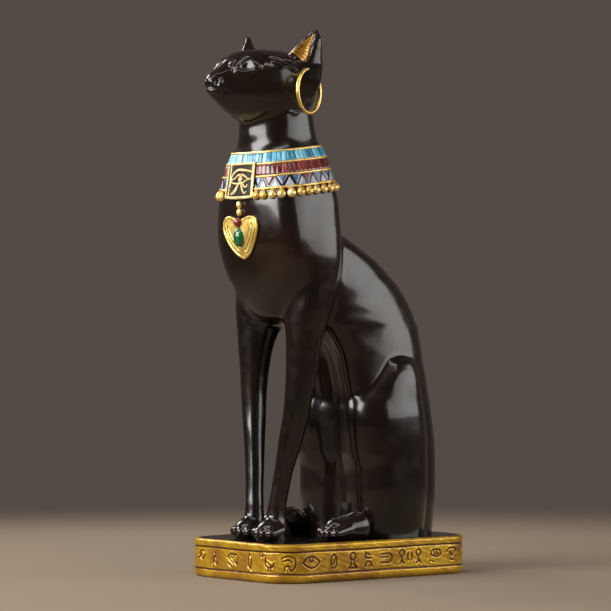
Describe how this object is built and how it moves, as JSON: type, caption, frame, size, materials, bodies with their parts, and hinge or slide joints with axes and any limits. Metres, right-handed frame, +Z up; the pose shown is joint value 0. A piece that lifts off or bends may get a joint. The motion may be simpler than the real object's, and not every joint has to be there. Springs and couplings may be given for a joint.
{
  "type": "seated cat figure",
  "caption": "Upright seated cat statuette cast in one with a low rounded plinth, with a broad banded collar, a chest plaque, a heart pendant and a wire hoop in each pierced ear.",
  "frame": {"origin": "middle of the plinth's flat underside", "axes": "+Z up through the figure, -Y the way the cat faces, +X the cat's own left"},
  "size_m": [0.078, 0.1325, 0.2539],
  "materials": {
    "black_resin": "glossy black lacquered cast resin with hand-painted gold, turquoise, red and green ornament",
    "gold_wire": "polished gold-coloured wire"
  },
  "bodies": {
    "root": {"cat_on_plinth": "black_resin", "earring_left": "gold_wire", "earring_right": "gold_wire"}
  },
  "joints": []
}
